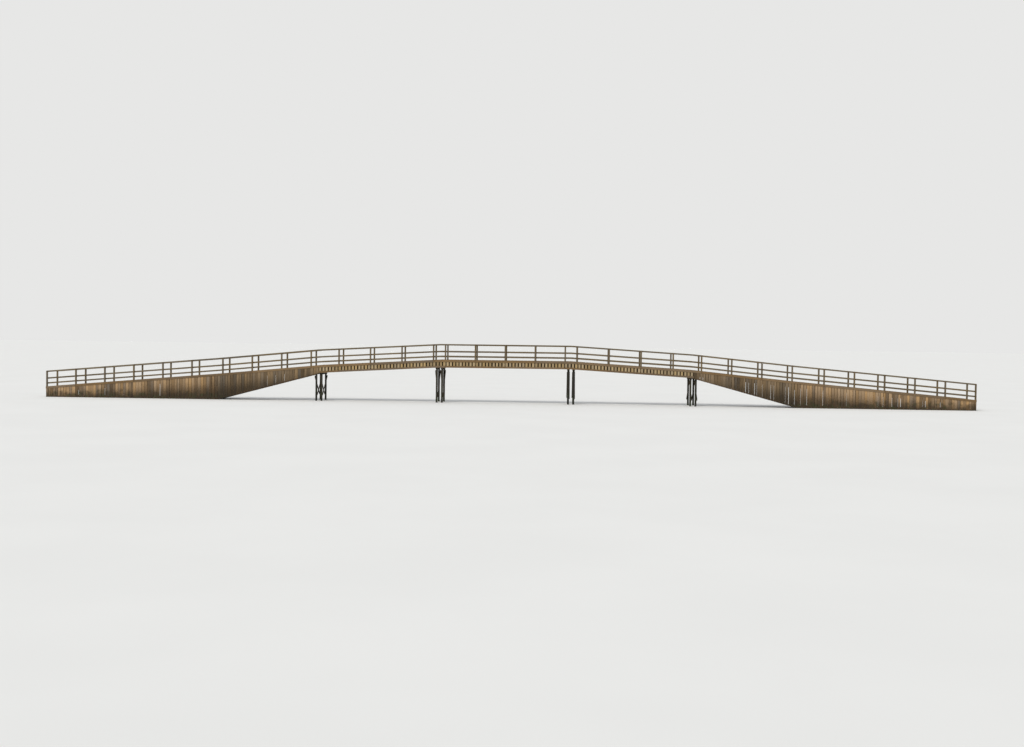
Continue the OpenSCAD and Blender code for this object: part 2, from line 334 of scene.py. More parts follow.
def sawn_timber(arris, ends=True):
    """A cube one metre wide whose arrises are taken off: all of them, or those along X."""
    primitive(bpy.ops.mesh.primitive_cube_add, size=1)
    bevel(arris, lambda a, b: ends or abs(a.x - b.x) > 0.5)


def domed_head(sides, radius, height):
    """A domed head that faces up, with its underside just inside the timber."""
    lift = height * 0.3
    cylinder(sides, radius, low=-lift, high=height - lift)
    dome(width=radius * 0.42, lift=lift)


def nut_on_washer():
    """A washer, the nut on it and the end of its bolt, facing up."""
    washer = cylinder(sides=12, radius=0.0088, low=-0.0003, high=0.0011)
    nut = cylinder(sides=6, radius=0.0056, low=0.0008, high=0.0036)
    rim, bolt_end = 0.0026, 0.0004
    choose("FACE", faces_up)
    bpy.ops.mesh.inset(thickness=rim)
    bpy.ops.mesh.inset(thickness=0, depth=bolt_end)
    done()
    join([washer, nut])


def round_pile(radius):
    """A round pile a metre long, a little uneven, with its head's arris worn."""
    cylinder(sides=20, radius=radius * 0.985, low=0, high=1)
    choose("EDGE", lambda a, b: abs(a.z - b.z) > 0.5)
    bpy.ops.mesh.subdivide(number_cuts=9)
    bpy.ops.mesh.select_all(action="SELECT")
    bpy.ops.transform.vertex_random(offset=0.0009, uniform=1.0, normal=0.0, seed=4)
    done()
    dome(width=radius * 0.12, lift=radius * 0.1)


def make_patterns(sizes):
    """Models each pattern, keeps its mesh and takes its object away."""
    for name, make, given in (
        ("sawn board", sawn_timber, {"arris": sizes.arris}),
        ("long board", sawn_timber, {"arris": sizes.arris, "ends": False}),
        ("sawn beam", sawn_timber, {"arris": sizes.post_arris}),
        ("long beam", sawn_timber, {"arris": sizes.post_arris, "ends": False}),
        ("nail", domed_head, {"sides": 6, "radius": 0.0032, "height": 0.0014}),
        ("bolt", domed_head, {"sides": 8, "radius": 0.0072, "height": 0.0036}),
        ("nut", nut_on_washer, {}),
        ("pile", round_pile, {"radius": sizes.pile / 2}),
    ):
        make(**given)
        obj = bpy.context.object
        PATTERNS[name] = obj.data
        obj.data.name = name
        obj.data.use_fake_user = True
        bpy.data.objects.remove(obj)


class Bench:
    """Gathers the timbers and fastenings of one piece of the bridge."""

    def __init__(self, name, look):
        self.name = name
        self.look = look
        self.rng = random.Random(name)
        self.sizes = bpy.context.scene.footbridge_sizes
        self.parts = []

    def stray(self, reach):
        return self.rng.uniform(-reach, reach)

    def spin(self):
        return Matrix.Rotation(self.rng.uniform(0, math.tau), 3, "Z")

    def take(self, pattern, look=None):
        """Adds a copy of a pattern to the piece, and gives its mesh."""
        if not PATTERNS:
            make_patterns(self.sizes)
        obj = bpy.data.objects.new(self.name, PATTERNS[pattern].copy())
        bpy.context.scene.collection.objects.link(obj)
        obj.data.materials.append(finish(look or self.look))
        self.parts.append(obj)
        return obj.data

    def mark(self, mesh, grain, half, own=None):
        """Writes at every point what the materials read.

        That is its place in its timber, long axis first, half the timber's size, and the timber's tone,
        age and pattern number. Timbers that a joint of the walkway cuts share the last three through own.
        """
        rng = random.Random(own) if own else self.rng
        character = (rng.random(), rng.random(), rng.random())
        for name, values in (("grain", grain), ("half", half), ("timber", character)):
            values = np.broadcast_to(np.asarray(values, np.float32), (len(mesh.vertices), 3))
            mesh.attributes.new(name, "FLOAT_VECTOR", "POINT").data.foreach_set("vector", values.ravel())

    def timber(
        self, x, y, z, along, pattern="sawn board", look=None, whole=None, own=None, foot=None, head=None
    ):
        """A sawn timber between low and high ends along X, Y and Z, whose long axis is along.

        whole gives the ends that the timber had before a joint of the walkway cut it. foot and head are
        heights that change along the bridge, added to the timber's lower and upper faces.
        """
        low, high = np.array((x, y, z), float).T
        mesh = self.take(pattern, look)
        points = np.roll(coordinates(mesh), along, axis=1)
        upper = points > 0
        points = np.where(upper, points - 0.5 + high, points + 0.5 + low)
        strays = np.array([[self.stray(self.sizes.slack) for _ in range(3)] for _ in range(8)])
        middle, half = (low + high) / 2, (high - low) / 2
        if whole:
            middle[along], half[along] = sum(whole) / 2, (whole[1] - whole[0]) / 2
        else:
            strays[:, along] = 0
            points = points + strays[upper @ (1, 2, 4)]
        order = [along, *sorted({0, 1, 2} - {along}, key=lambda axis: -half[axis])]
        self.mark(mesh, (points - middle)[:, order], half[order], own)
        for line, chosen in ((foot, ~upper[:, 2]), (head, upper[:, 2])):
            if line:
                points[chosen, 2] += line(points[chosen, 0])
        set_coordinates(mesh, points)
        return mesh

    def long_boards(self, low, high, y, z, shift, key, look=None):
        """Long boards that butt at every other post, cut to one length of the walkway.

        shift moves the joints on by that many posts. key names the row of boards.
        """
        posts = [x for _, _, _, places in walkway() for x in places]
        joints = [-END_X - CLEAR, *posts[1 + shift : -1 : 2], END_X + CLEAR]
        for a, b in zip(joints, joints[1:]):
            whole = (a + CLEAR, b - CLEAR)
            if whole[1] > low and whole[0] < high:
                x = (max(whole[0], low), min(whole[1], high))
                self.timber(x, y, z, 0, "long board", look, whole, f"{key} {whole[0]:.3f}")

    def upright_board(self, x, half, side, low, foot=None):
        """An upright board on one side, from a height up to the kerb."""
        y = between(side, BOARD_Y + INSET, BOARD_Y + self.sizes.board_thickness - INSET)
        self.timber(about(x, half), y, (low, KERB - CLEAR), 2, foot=foot)

    def edge_boards(self, low, high, side, *rows):
        """Long boards over the heads or the feet of the upright boards."""
        foot = BOARDING_FOOT + INSET
        heights = {
            "upper": (-self.sizes.upper_edge, KERB - INSET),
            "lower": (foot, foot + self.sizes.lower_edge),
        }
        y = between(side, BOARD_Y + self.sizes.board_thickness, EDGE_FACE)
        for shift, row in enumerate(rows):
            self.long_boards(low, high, y, heights[row], shift, f"{row} edge {side}", "edge boards")

    def fasten(self, pattern, places, facing):
        """Copies of a fastening at places on a timber's face, each turned by a random angle."""
        turn = Vector((0, 0, 1)).rotation_difference(Vector(facing)).to_matrix()
        for place in places:
            mesh = self.take(pattern, "iron")
            points = coordinates(mesh) @ np.array(turn @ self.spin()).T + np.array(place, float)
            self.mark(mesh, points, (1, 1, 1))
            set_coordinates(mesh, points)

    def build(self, node, lifted=True, smooth=False):
        """Joins all into one piece, lifts it to the walking line and sets it in place of its node."""
        piece = join(self.parts)
        piece.name = piece.data.name = self.name
        points = coordinates(piece.data)
        if lifted:
            points[:, 2] += walk_z(points[:, 0])
        set_coordinates(piece.data, np.clip(points, CAD_BOX[0], CAD_BOX[1]))
        if smooth:
            bpy.ops.object.shade_smooth_by_angle(angle=math.radians(40))
        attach(piece, "root")
        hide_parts(node)


def about(middle, half):
    return middle - half, middle + half


def between(side, a, b):
    """Low and high ends of what lies between the offsets a and b on one side."""
    return sorted((side * a, side * b))


def girder_rows():
    """Offsets of the three girders' middles across the bridge."""
    y = POST_Y - bpy.context.scene.footbridge_sizes.girder / 2
    return (-y, 0, y)


def spread(first, last, pitch):
    """Places spread evenly between two ends, no further apart than the pitch."""
    bays = math.ceil((last - first) / pitch - 1e-6)
    return [first + (last - first) * i / bays for i in range(bays + 1)]


def walkway():
    """The seven lengths of walkway: name, low end, high end and post places."""
    sizes = bpy.context.scene.footbridge_sizes
    reach = INNER_X - sizes.inner_pier_post
    lengths = [("centre_span", -INNER_X, INNER_X, spread(-reach, reach, sizes.post_pitch))]
    for name, low, high, first, last in (
        ("span", INNER_X, OUTER_X, sizes.inner_pier_post, sizes.side_span_post),
        ("shore", OUTER_X, SHORE_X, sizes.shore_span_post, sizes.shore_post),
        ("ramp", SHORE_X, END_X, sizes.ramp_post, sizes.post / 2),
    ):
        posts = spread(low + first, high - last, sizes.post_pitch)
        lengths.append((f"right_{name}", low, high, posts))
        lengths.insert(0, (f"left_{name}", -high, -low, [-x for x in reversed(posts)]))
    return lengths


def fill(low, high, width, gap):
    """Places and widths of boards that fill a length evenly."""
    count = max(1, round((high - low) / (width + gap)))
    pitch = (high - low) / count
    return [(low + pitch * (i + 0.5), pitch - gap) for i in range(count)]


def fill_unevenly(rng, low, high, width, gap):
    """Places and widths of boards of mixed widths and gaps that fill a length."""
    count = max(1, round((high - low) / (width + gap)))
    ends = np.cumsum([0.0, *(rng.uniform(*SKIRT_WIDTHS) for _ in range(count))])
    ends = low + ends * (high - low) / ends[-1]
    return [((a + b) / 2, b - a - gap * rng.uniform(*SKIRT_GAPS)) for a, b in zip(ends, ends[1:])]


def skirt_line(x):
    """Height of the skirts' feet, measured from the walking surface."""
    rise = (OUTER_Z - bpy.context.scene.footbridge_sizes.skirt_depth) / (SHORE_X - OUTER_X)
    return np.maximum(0, (SHORE_X - np.abs(x)) * rise) - walk_z(x)


def pier_rows(pier):
    """Places along the bridge of a pier's two rows of piles."""
    node, half = f"pier_{pier}_piles", bpy.context.scene.footbridge_sizes.pile / 2
    return near(node).x + half, far(node).x - half


class FOOTBRIDGE_OT_deck(bpy.types.Operator):
    """Lay the deck planks, nailed to the girders and fitted between the railing posts"""

    bl_idname = "footbridge.deck"
    bl_label = "Deck Planks"

    def execute(self, context):
        sizes = context.scene.footbridge_sizes
        half = sizes.post / 2 + CLEAR
        for name, low, high, posts in walkway():
            bench = Bench(f"{name}_deck_planks", "deck planks")
            start = low
            notches = [(max(low, x - half), min(high, x + half)) for x in posts]
            for a, b in [*notches, (high, high)]:
                if a - start > sizes.plank / 2:
                    for x, width in fill(start, a, sizes.plank, sizes.plank_gap):
                        self.plank(bench, x, width, BOARD_Y)
                if a < b:
                    self.plank(bench, (a + b) / 2, b - a - sizes.plank_gap / 2, POST_Y - CLEAR)
                start = b
            bench.build(f"{name}_deck")
        return {"FINISHED"}

    def plank(self, bench, x, width, reach):
        rng = bench.rng
        half = width / 2
        top = -rng.uniform(0, PLANK_WEAR)
        ends = (-reach + rng.uniform(INSET, PLANK_CUT), reach - rng.uniform(INSET, PLANK_CUT))
        bench.timber(about(x, half), ends, (-DECK, top), 1)
        places = [
            (x + turn * half * NAIL_SHARE + bench.stray(NAIL_STRAY / 2), y + bench.stray(NAIL_STRAY), top)
            for y in girder_rows()
            for turn in SIDES
        ]
        bench.fasten("nail", places, (0, 0, 1))


class FOOTBRIDGE_OT_girders(bpy.types.Operator):
    """Set the three girders of each length, with the blocking between them"""

    bl_idname = "footbridge.girders"
    bl_label = "Girders"

    def execute(self, context):
        sizes = context.scene.footbridge_sizes
        half = sizes.blocking_thickness / 2
        for name, _, _, posts in walkway():
            node = f"{name}_girders"
            x = (near(node).x, far(node).x)
            bench = Bench(f"{name}_girder_timbers", "girder timber")
            for y in girder_rows():
                z = (GIRDER_FOOT, -DECK - SEAT)
                bench.timber(x, about(y, sizes.girder / 2), z, 0, "long beam", whole=x)
            for post in posts:
                if x[0] < post - half and post + half < x[1]:
                    for side in SIDES:
                        self.blocking(bench, post, half, side)
            bench.build(node)
        return {"FINISHED"}

    def blocking(self, bench, x, half, side):
        sizes = bench.sizes
        centre = (GIRDER_FOOT - DECK) / 2
        y = between(side, sizes.girder / 2, girder_rows()[2] - sizes.girder / 2)
        bench.timber(about(x, half), y, about(centre, sizes.blocking_depth / 2), 1)
        face = side * (POST_Y - sizes.girder)
        places = [(x + turn * (half + BOLT_X), face, centre + turn * NUT_Z) for turn in SIDES]
        bench.fasten("nut", places, (0, -side, 0))


class FOOTBRIDGE_OT_boarding(bpy.types.Operator):
    """Nail the short upright boards to the spans, between an upper and a lower edge board"""

    bl_idname = "footbridge.boarding"
    bl_label = "Span Boarding"

    def execute(self, context):
        sizes = context.scene.footbridge_sizes
        for name, low, high, _ in walkway():
            if not name.endswith("span"):
                continue
            bench = Bench(f"{name}_boards", "boards")
            for side in SIDES:
                for x, width in fill(low, high, sizes.board, sizes.board_gap):
                    self.board(bench, x, width, side)
                bench.edge_boards(low, high, side, "upper", "lower")
            bench.build(f"{name}_boarding")
        return {"FINISHED"}

    def board(self, bench, x, width, side):
        rng = bench.rng
        x += bench.stray(BOARD_STRAY)
        width += rng.uniform(*BOARD_WIDTHS)
        bench.upright_board(x, width / 2, side, BOARDING_FOOT + rng.uniform(RISE, BOARD_RISE))
        face = side * (EDGE_FACE - SEAT)
        rows = ((KERB - bench.sizes.upper_edge) / 2, BOARDING_FOOT + bench.sizes.lower_edge / 2)
        places = [
            (x + turn * NAIL_X + bench.stray(NAIL_STRAY), face, z + bench.stray(ROW_STRAY))
            for z in rows
            for turn in SIDES
        ]
        bench.fasten("nail", places, (0, side, 0))


class FOOTBRIDGE_OT_skirts(bpy.types.Operator):
    """Nail the long upright boards to the ramps and the shore spans"""

    bl_idname = "footbridge.skirts"
    bl_label = "Skirts"

    def execute(self, context):
        sizes = context.scene.footbridge_sizes
        for name, low, high, _ in walkway():
            if name.endswith("span"):
                continue
            ramp = name.endswith("ramp")
            # Ramps get the finish with painted sunlight, and shore spans the one with painted shade
            bench = Bench(f"{name}_skirt_boards", "ramp boards" if ramp else "skirt boards")
            ends = (END_X - sizes.post, SHORE_X) if ramp else (SHORE_X, OUTER_X + BATTEN_START)
            batten = between(1 if high > 0 else -1, *ends)
            for side in SIDES:
                for x, width in fill_unevenly(bench.rng, low, high, sizes.skirt_board, sizes.skirt_gap):
                    self.board(bench, x, width / 2, side, (low, high), batten)
                bench.edge_boards(low, high, side, "upper")
                y = between(side, BOARD_Y - sizes.batten_thickness, BOARD_Y)
                z = (sizes.batten_lift, sizes.batten_lift + sizes.batten_width)
                lines = {"foot": skirt_line, "head": skirt_line}
                bench.timber(batten, y, z, 0, "long board", "edge boards", batten, **lines)
            bench.build(f"{name}_skirts")
        return {"FINISHED"}

    def board(self, bench, x, half, side, ends, batten):
        sizes, rng = bench.sizes, bench.rng
        x = min(max(x + bench.stray(SKIRT_STRAY), ends[0] + half), ends[1] - half)
        low = skirt_line(x)
        foot = low + rng.uniform(RISE, SKIRT_RISE)
        bench.upright_board(x, half, side, foot, lambda places: skirt_line(places) - low)
        nails = about(0, half * NAIL_SHARE)
        row = (KERB - sizes.upper_edge) / 2
        heads = [(x + dx + bench.stray(NAIL_STRAY), side * (EDGE_FACE - SEAT), row) for dx in nails]
        bench.fasten("nail", heads, (0, side, 0))
        if batten[0] < x < batten[1]:
            face = side * (BOARD_Y + sizes.board_thickness - SUNK)
            row = sizes.batten_lift + sizes.batten_width * rng.uniform(*BATTEN_ROW)
            bench.fasten("nail", [(x + dx, face, skirt_line(x + dx) + row) for dx in nails], (0, side, 0))


class FOOTBRIDGE_OT_railings(bpy.types.Operator):
    """Bolt three rails to the square posts on both sides"""

    bl_idname = "footbridge.railings"
    bl_label = "Railings"

    def execute(self, context):
        sizes = context.scene.footbridge_sizes
        rail_y = POST_Y + sizes.housing - sizes.rail_thickness
        heights = (RAIL_TOP - sizes.rail / 2, sizes.middle_rail, sizes.lower_rail)
        for name, low, high, posts in walkway():
            bench = Bench(f"{name}_posts_and_rails", "rail timber")
            for side in SIDES:
                for x in posts:
                    self.post(bench, x, side, heights, rail_y)
                y = between(side, rail_y, rail_y + sizes.rail_thickness)
                for row, height in enumerate(heights):
                    z, shift = about(height, sizes.rail / 2), (row + (side > 0)) % 2
                    bench.long_boards(low, high, y, z, shift, f"rail {row} {side}")
            bench.build(f"{name}_railings")
        return {"FINISHED"}

    def post(self, bench, x, side, heights, rail_y):
        sizes = bench.sizes
        y = between(side, POST_Y + SEAT, BOARD_Y - SEAT)
        grounded = abs(x) > END_X - sizes.post
        z = (RISE - walk_z(x) if grounded else POST_FOOT, RAIL_TOP - sizes.post_drop)
        foot = (lambda places: walk_z(x) - walk_z(places)) if grounded else None
        bench.timber(about(x, sizes.post / 2), y, z, 2, "sawn beam", foot=foot)
        for pattern, face, facing in (("bolt", rail_y, -side), ("nut", BOARD_Y - SUNK, side)):
            places = [(x + turn * BOLT_X, side * face, z + turn * BOLT_Z) for z in heights for turn in SIDES]
            bench.fasten(pattern, places, (0, facing, 0))


class FOOTBRIDGE_OT_piles(bpy.types.Operator):
    """Drive the round piles of each pier"""

    bl_idname = "footbridge.piles"
    bl_label = "Piles"

    def execute(self, context):
        sizes = context.scene.footbridge_sizes
        for pier in PIERS:
            node = f"pier_{pier}_piles"
            bench = Bench(f"pier_{pier}_round_piles", "pile timber")
            for x in pier_rows(pier):
                for y in (near(node).y + sizes.pile / 2, far(node).y - sizes.pile / 2):
                    self.pile(bench, x, y, far(node).z)
            bench.build(node, lifted=False, smooth=True)
        return {"FINISHED"}

    def pile(self, bench, x, y, head):
        mesh = bench.take("pile")
        points = coordinates(mesh)
        points[:, 2] = np.clip(points[:, 2] * head / points[:, 2].max(), 0, head)
        points = points @ np.array(bench.spin()).T
        bench.mark(mesh, np.roll(points - (0, 0, head / 2), 1, axis=1), (head / 2, 1, 1))
        set_coordinates(mesh, points + (x, y, 0))


class FOOTBRIDGE_OT_caps(bpy.types.Operator):
    """Set the cap beams on the piles and the bolsters under the girders"""

    bl_idname = "footbridge.caps"
    bl_label = "Cap Beams"

    def execute(self, context):
        sizes = context.scene.footbridge_sizes
        depth = sizes.bolster_depth
        for pier in PIERS:
            node = f"pier_{pier}_caps"
            low, high = near(node), far(node)
            x = (low.x + high.x) / 2
            head = walk_z(x) + GIRDER_FOOT - depth
            bench = Bench(f"pier_{pier}_cap_beams", "pier timbers")
            for row in pier_rows(pier):
                middle, size = (row, 0, (low.z + head) / 2), (sizes.cap_width, 2 * high.y, head - low.z)
                self.splayed_beam(middle, size, 0, sizes.cap_splay)
                self.finish_beam(bench, middle, size, (1, 0, 2), sizes.post_arris)
            for y in girder_rows():
                self.bolster(bench, (x, y, head + depth / 2), (high.x - low.x, sizes.girder, depth))
            bench.build(node, lifted=False)
        return {"FINISHED"}

    def splayed_beam(self, middle, size, width_axis, splay):
        """A beam with a splay cut from the foot of both ends. It is left in edit mode."""
        primitive(bpy.ops.mesh.primitive_cube_add, size=1, location=middle, scale=size)
        low = middle[2] - size[2] / 2 + CLEAR
        choose("EDGE", lambda a, b: max(a.z, b.z) < low and abs(a[width_axis] - b[width_axis]) > APART)
        bpy.ops.mesh.bevel(offset=splay, segments=1, affect="EDGES")

    def finish_beam(self, bench, middle, size, order, arris):
        """Takes off the active beam's arrises, marks it and adds it to the piece."""
        bevel(arris)
        beam = bpy.context.object
        beam.data.materials.append(finish(bench.look))
        bench.parts.append(beam)
        bench.mark(beam.data, (coordinates(beam.data) - middle)[:, order], [size[axis] / 2 for axis in order])

    def bolster(self, bench, middle, size):
        sizes, x = bench.sizes, middle[0]
        foot, top = about(middle[2], size[2] / 2)
        self.splayed_beam(middle, size, 1, sizes.bolster_rise)
        bpy.ops.mesh.select_all(action="SELECT")
        bpy.ops.mesh.bisect(plane_co=middle, plane_no=(1, 0, 0))
        done()
        mesh = bpy.context.object.data
        points = coordinates(mesh)
        outer = (np.abs(points[:, 2] - foot) < CLEAR) & (np.abs(points[:, 0] - x) > APART)
        points[outer, 0] = x + np.sign(points[outer, 0] - x) * (size[0] / 2 - sizes.bolster_splay)
        upper = points[:, 2] > top - CLEAR
        points[upper, 2] = walk_z(points[upper, 0]) + GIRDER_FOOT - SEAT
        set_coordinates(mesh, points)
        self.finish_beam(bench, middle, size, (0, 1, 2), sizes.arris)


class FOOTBRIDGE_OT_braces(bpy.types.Operator):
    """Bolt two crossed braces to each row of piles"""

    bl_idname = "footbridge.braces"
    bl_label = "Braces"

    def execute(self, context):
        sizes = context.scene.footbridge_sizes
        for pier in PIERS:
            node, piles = f"pier_{pier}_braces", f"pier_{pier}_piles"
            bench = Bench(f"pier_{pier}_crossed_braces", "pier timbers")
            reach = far(piles).y
            low = sizes.brace_foot + sizes.brace_width
            high = far(piles).z - sizes.brace_drop - sizes.brace_width
            slope = (high - low) / (2 * reach)
            half = sizes.brace_width / 2 / math.cos(math.atan(slope))
            inner = (far(node).x - far(piles).x) - sizes.brace_thickness + sizes.pile / 2
            for row in pier_rows(pier):
                for side in SIDES:
                    faces = (row + side * inner, row + side * (inner + sizes.brace_thickness))
                    mesh = bench.timber(sorted(faces), (-reach, reach), (-half, half), 1)
                    points = coordinates(mesh)
                    points[:, 2] += (low + high) / 2 + side * slope * points[:, 1]
                    set_coordinates(mesh, points)
                    ends = about(0, reach - sizes.pile / 2)
                    places = [(faces[1], y, (low + high) / 2 + side * slope * y) for y in ends]
                    bench.fasten("bolt", places, (side, 0, 0))
            bench.build(node, lifted=False)
        return {"FINISHED"}


class FOOTBRIDGE_OT_trestles(bpy.types.Operator):
    """Stand the trestles and the sill inside each ramp"""

    bl_idname = "footbridge.trestles"
    bl_label = "Trestles"

    def execute(self, context):
        sizes = context.scene.footbridge_sizes
        sill_x = WALL_X - sizes.sill
        for hand, sign in HANDS:
            bench = Bench(f"{hand}_ramp_trestle_timbers", "pier timbers")
            for i in range(sizes.trestles):
                self.trestle(bench, sign * (SHORE_X + (sill_x - SHORE_X) * i / sizes.trestles))
            self.beam(bench, between(sign, sill_x, WALL_X), SUNK)
            bench.build(f"{hand}_ramp_trestles", lifted=False)
        return {"FINISHED"}

    def trestle(self, bench, x):
        sizes = bench.sizes
        half = sizes.trestle_post / 2
        cap_foot = walk_z(abs(x) + half) + GIRDER_FOOT - sizes.trestle_cap
        self.beam(bench, about(x, half), cap_foot)
        for side in SIDES:
            y = between(side, POST_Y - sizes.girder, POST_Y)
            bench.timber(about(x, half), y, (SUNK, cap_foot - INSET), 2, "sawn beam")
            places = [(x + half, side * (POST_Y - sizes.girder / 2), cap_foot + sizes.trestle_cap / 2)]
            bench.fasten("nut", places, (1, 0, 0))

    def beam(self, bench, x, foot):
        """A beam across the bridge, whose head follows the girders that lie on it."""
        middle = walk_z(sum(x) / 2)
        z = (foot, middle + GIRDER_FOOT - SEAT)
        bench.timber(x, (-POST_Y, POST_Y), z, 1, "sawn beam", head=lambda places: walk_z(places) - middle)


class FOOTBRIDGE_OT_end_walls(bpy.types.Operator):
    """Close the ramps' ends with planks on short studs"""

    bl_idname = "footbridge.end_walls"
    bl_label = "End Walls"

    def execute(self, context):
        inset, stud_half, stud_inset, nail_rise = 0.0006, 0.03, 0.01, 0.022
        inner_face = END_X - context.scene.footbridge_sizes.wall_plank
        head = walk_z(END_X) - DECK
        studs = [share * (POST_Y - stud_half - stud_inset) for share in (-1, -1 / 3, 1 / 3, 1)]
        for hand, sign in HANDS:
            bench = Bench(f"{hand}_end_wall_planks", "wall planks")
            for z, width in fill(inset, head - SUNK, width=0.095, gap=0.005):
                x = between(sign, END_X, inner_face)
                bench.timber(x, about(0, POST_Y - inset), about(z, width / 2), 1)
                places = [(sign * (END_X - SUNK), y, z + turn * nail_rise) for y in studs for turn in SIDES]
                bench.fasten("nail", places, (sign, 0, 0))
            for y in studs:
                bench.timber(between(sign, WALL_X, inner_face), about(y, stud_half), (SUNK, head), 2)
            bench.build(f"{hand}_end_wall", lifted=False)
        return {"FINISHED"}


class Wires:
    """Adds nodes to the shader tree of a group, a material or a world, and joins them."""

    def __init__(self, tree):
        self.tree = tree

    def add(self, kind, inputs=None, **settings):
        """Adds a node, feeds or sets its inputs, leaves out those given as None, and gives its outputs."""
        node = self.tree.nodes.new(kind)
        for key, value in settings.items():
            setattr(node, key, value)
        for key, value in (inputs or {}).items():
            if isinstance(value, bpy.types.NodeSocket):
                self.tree.links.new(value, node.inputs[key])
            elif value is not None:
                is_colour = node.inputs[key].type == "RGBA"
                node.inputs[key].default_value = (*value, 1) if is_colour else value
        return node.outputs

    def math(self, operation, a, b=None, clamp=False):
        return self.add("ShaderNodeMath", {0: a, 1: b}, operation=operation, use_clamp=clamp)[0]

    def times(self, a, b):
        return self.math("MULTIPLY", a, b)

    def vector(self, operation, a, b=None):
        return self.add("ShaderNodeVectorMath", {0: a, 1: b}, operation=operation)[0]

    def parts(self, vector):
        return self.add("ShaderNodeSeparateXYZ", {0: vector})

    def span(self, value, low, high, to_low=0.0, to_high=1.0):
        inputs = dict(enumerate((value, low, high, to_low, to_high)))
        return self.add("ShaderNodeMapRange", inputs, interpolation_type="SMOOTHSTEP")[0]

    def mix(self, factor, a, b):
        return self.add("ShaderNodeMix", {0: factor, 6: a, 7: b}, data_type="RGBA")[2]

    def noise(self, vector, scale, detail, number=None, distortion=0.0):
        inputs = {"Vector": vector, "W": number, "Scale": scale, "Detail": detail, "Distortion": distortion}
        dimensions = "3D" if number is None else "4D"
        return self.add("ShaderNodeTexNoise", inputs, noise_dimensions=dimensions)["Fac"]

    def place(self):
        return self.add("ShaderNodeTexCoord")["Object"]

    def attribute(self, name):
        return self.add("ShaderNodeAttribute", attribute_name=name)["Vector"]

    def bump(self, height, strength, distance):
        return self.add("ShaderNodeBump", {"Height": height, "Strength": strength, "Distance": distance})[0]

    def shade(self, **inputs):
        """Ends a material with its shader."""
        inputs = {key.replace("_", " "): value for key, value in inputs.items()}
        shader = self.add("ShaderNodeBsdfPrincipled", inputs)
        self.add("ShaderNodeOutputMaterial", {"Surface": shader[0]})

    def group(self, make, inputs=None):
        """Places a node group, which is made on its first use. Inputs not given keep its own values."""
        name = make.__name__.replace("_", " ").title()
        tree = bpy.data.node_groups.get(name) or make(name)
        return self.add("ShaderNodeGroup", inputs, node_tree=tree)

    def give(self, results):
        """Ends a node group with its named outputs."""
        for label in results:
            self.tree.interface.new_socket(label, in_out="OUTPUT", socket_type="NodeSocketFloat")
        self.add("NodeGroupOutput", results)
        return self.tree


def new_group(name, inputs):
    """Wires of a new node group, and its named inputs."""
    w = Wires(bpy.data.node_groups.new(name, "ShaderNodeTree"))
    for label, default in inputs.items():
        socket = w.tree.interface.new_socket(label, in_out="INPUT", socket_type="NodeSocketFloat")
        socket.default_value = default
    return w, w.add("NodeGroupInput")


def new_wires(owner):
    """Wires of a material or a world, whose first nodes are taken away."""
    owner.use_nodes = True
    owner.node_tree.nodes.clear()
    return Wires(owner.node_tree)


def timber_grain(name):
    """Grain that runs along each timber, different in each one."""
    w, given = new_group(name, {"Streak Length": 0.35, "Streak Width": 0.008})
    along, across_1, across_2 = w.parts(w.attribute("grain"))
    tone, age, number = w.parts(w.attribute("timber"))
    number = w.times(number, 61.0)

    def stretched(length, width):
        scaled = ((along, length), (across_1, width), (across_2, width))
        inputs = dict(enumerate(w.math("DIVIDE", *pair) for pair in scaled))
        return w.add("ShaderNodeCombineXYZ", inputs)[0]

    streaks = w.noise(stretched(given["Streak Length"], given["Streak Width"]), 1.0, 4.0, number, 0.4)
    cracks = w.noise(stretched(0.16, 0.0045), 1.0, 1.0, w.math("ADD", number, 7.0), 0.2)
    inputs = {"Vector": stretched(0.34, 0.09), "W": number, "Scale": 1.0}
    knots = w.add("ShaderNodeTexVoronoi", inputs, voronoi_dimensions="4D", feature="F1")
    return w.give({
        "Streaks": w.span(streaks, 0.28, 0.72),
        "Fibre": w.noise(stretched(0.05, 0.0011), 1.0, 3.0, number),
        "Checks": w.span(cracks, 0.67, 0.73),
        "Knots": w.span(knots["Distance"], 0.06, 0.13, 1.0, 0.0),
        "Tone": tone,
        "Age": age,
    })


def worn_edges(name):
    """Masks of each timber's arrises and ends, and of what lies well below its head."""
    w, given = new_group(name, {"Width": 0.005, "End Length": 0.045, "Depth": 0.6})
    own, half = w.attribute("grain"), w.attribute("half")
    along, side_1, side_2 = w.parts(w.vector("SUBTRACT", half, w.vector("ABSOLUTE", own)))
    lesser, greater = w.math("MINIMUM", side_1, side_2), w.math("MAXIMUM", side_1, side_2)
    arris = w.math("MAXIMUM", lesser, w.math("MINIMUM", greater, along))
    below = w.math("SUBTRACT", w.parts(half)[0], w.parts(own)[0])
    patchy = w.noise(w.place(), 38.0, 3.0)
    masks = {}
    for label, distance, reach, patches, limits in (
        ("Edges", arris, "Width", (0.25, 0.75, 0.25, 1.75), (0.2, 1.0, 1.0, 0.0)),
        ("Ends", along, "End Length", (0.2, 0.8, 0.5, 1.5), (0.0, 1.0, 1.0, 0.0)),
        ("Below", below, "Depth", (0.2, 0.8, 0.8, 1.2), (0.15, 1.0)),
    ):
        share = w.math("DIVIDE", distance, w.times(given[reach], w.span(patchy, *patches)))
        masks[label] = w.span(share, *limits)
    return w.give(masks)


